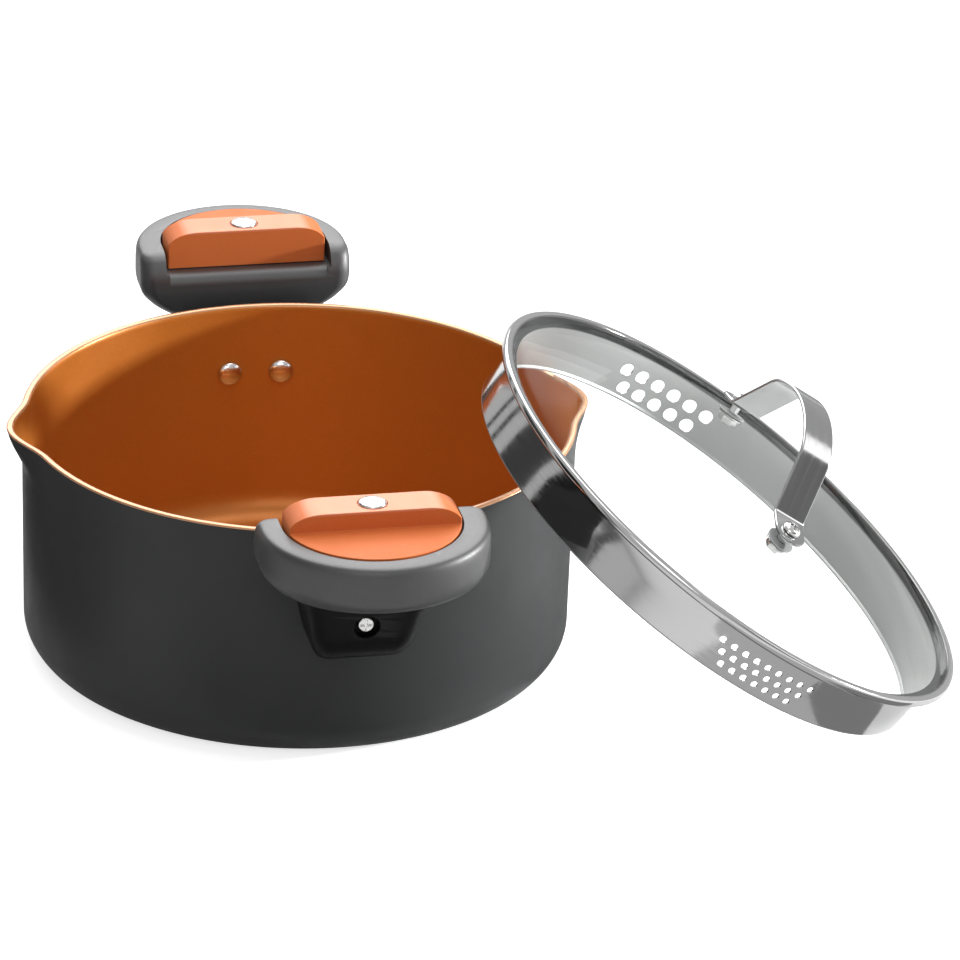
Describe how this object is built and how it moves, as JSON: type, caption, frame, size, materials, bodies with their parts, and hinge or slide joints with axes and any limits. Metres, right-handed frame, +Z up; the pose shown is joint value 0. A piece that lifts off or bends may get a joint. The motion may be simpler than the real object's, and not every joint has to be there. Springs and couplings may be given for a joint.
{
  "type": "pasta pot with strainer lid",
  "caption": "Round two-handled cooking pot with pouring spouts, turning lid-lock knobs and a domed glass strainer lid leaning beside it.",
  "frame": {"origin": "centre of the pot's flat underside", "axes": "+Z up along the pot's axis, +X through the pouring spout beside the lid, -Y through the front handle"},
  "size_m": [0.4112, 0.4043, 0.1621],
  "materials": {
    "pot_outside": "satin charcoal coating on aluminium",
    "pot_lining": "satin copper-coloured non-stick lining on aluminium",
    "bracket": "satin black",
    "grip": "matte grey",
    "knob": "satin copper-coloured",
    "fastener": "bright",
    "rivet": "satin",
    "lid_steel": "polished stainless steel",
    "lid_glass": "clear",
    "seal": "matte grey"
  },
  "bodies": {
    "pot": {"pot_body": "pot_outside", "front_bracket": "bracket", "back_bracket": "bracket", "front_grip": "grip", "back_grip": "grip", "front_pivot_pin": "fastener", "back_pivot_pin": "fastener", "front_pivot_washer": "fastener", "back_pivot_washer": "fastener", "front_pivot_nut": "fastener", "back_pivot_nut": "fastener", "front_bracket_screw": "fastener", "back_bracket_screw": "fastener", "front_rivet_a": "rivet", "front_rivet_b": "rivet", "back_rivet_a": "rivet", "back_rivet_b": "rivet"},
    "front_lock": {"front_knob": "knob"},
    "back_lock": {"back_knob": "knob"},
    "lid": {"lid_band": "lid_steel", "lid_glass": "lid_glass", "lid_strap": "lid_steel", "lid_pad_a": "seal", "lid_pad_b": "seal", "lid_seal_a": "seal", "lid_seal_b": "seal", "lid_washer_a": "fastener", "lid_washer_b": "fastener", "lid_nut_a": "fastener", "lid_nut_b": "fastener", "lid_screw_a": "fastener", "lid_screw_b": "fastener"}
  },
  "joints": [
    {"name": "front_lock_turn", "type": "hinge", "parent": "pot", "child": "front_lock", "pos_m": [0.0018, -0.154, 0.125], "axis": [0, 0, 1], "range_deg": [0, 180]},
    {"name": "back_lock_turn", "type": "hinge", "parent": "pot", "child": "back_lock", "pos_m": [0.0018, 0.154, 0.125], "axis": [0, 0, 1], "range_deg": [0, 180]},
    {"name": "lid_lift", "type": "slide", "parent": "pot", "child": "lid", "axis": [0, 0, 1], "range_m": [0, 0.16]}
  ]
}
